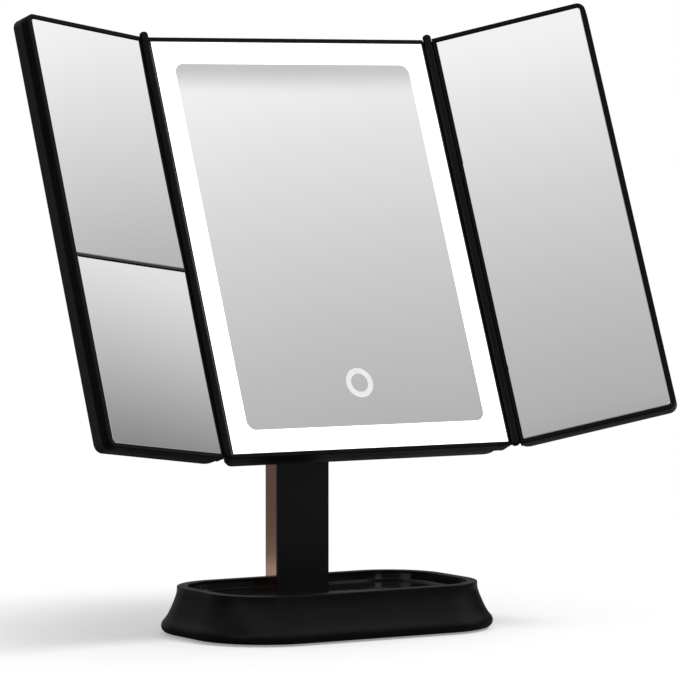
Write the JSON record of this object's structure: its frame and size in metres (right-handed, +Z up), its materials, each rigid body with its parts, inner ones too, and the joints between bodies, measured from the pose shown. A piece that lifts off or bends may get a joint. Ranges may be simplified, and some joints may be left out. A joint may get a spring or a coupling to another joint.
{
  "type": "tri-fold lighted makeup mirror",
  "caption": "Tabletop makeup mirror with a lit middle panel, two folding side wings, a tilting head and a column on a tray base.",
  "frame": {"origin": "middle of the base outline, on the table under the feet", "axes": "+Z up, +X to the viewer's right, -Y towards the viewer"},
  "size_m": [0.3206, 0.1456, 0.3172],
  "materials": {
    "satin_black": "satin",
    "gloss_black": "glossy",
    "rose_gold": "plated",
    "mirror_glass": "silvered",
    "opal_light": "opal, lit from behind",
    "frosted_ring": "etched",
    "white_plastic": "matt",
    "circuit_board": "white solder mask",
    "led_white": "phosphor",
    "steel": "zinc plated",
    "cell_jacket": "plain sleeve",
    "foot_rubber": "matt"
  },
  "bodies": {
    "stand": {"base_shell": "satin_black", "tray_insert": "gloss_black", "base_bottom_plate": "satin_black", "battery_door": "satin_black", "battery_cells": "cell_jacket", "battery_contacts": "steel", "rubber_foot": "foot_rubber", "base_screws": "steel", "column_channel": "rose_gold", "column_front_panel": "satin_black", "column_foot": "steel", "column_screws": "steel", "column_knuckle": "satin_black"},
    "head": {"tilt_bracket": "satin_black", "tilt_pin": "steel", "tilt_washers": "steel", "bracket_screws": "steel", "centre_frame": "satin_black", "centre_back_cover": "satin_black", "cover_screws": "steel", "mirror_carrier": "white_plastic", "light_diffuser": "opal_light", "centre_mirror": "mirror_glass", "touch_ring": "frosted_ring", "touch_sensor": "circuit_board", "led_boards": "circuit_board", "led_chips": "led_white", "control_board": "circuit_board", "left_wing_hinge_pin": "steel", "right_wing_hinge_pin": "steel"},
    "left_wing": {"left_wing_frame": "satin_black", "left_wing_back_cover": "satin_black", "left_upper_mirror": "mirror_glass", "left_lower_mirror": "mirror_glass", "left_mirror_divider": "gloss_black"},
    "right_wing": {"right_wing_frame": "satin_black", "right_wing_back_cover": "satin_black", "right_mirror": "mirror_glass", "right_mirror_backing": "white_plastic"}
  },
  "joints": [
    {"name": "head_tilt", "type": "hinge", "parent": "stand", "child": "head", "pos_m": [0, 0.0308, 0.1892], "axis": [-1, 0, 0], "range_deg": [-22.4, 45]},
    {"name": "left_wing_fold", "type": "hinge", "parent": "head", "child": "left_wing", "pos_m": [-0.0835, -0.00317, 0.19595], "axis": [0, 0.3811, 0.9245], "range_deg": [-19.8, 160.2]},
    {"name": "right_wing_fold", "type": "hinge", "parent": "head", "child": "right_wing", "pos_m": [0.0835, -0.00317, 0.19595], "axis": [0, -0.3811, -0.9245], "range_deg": [-38.5, 141.5]}
  ]
}
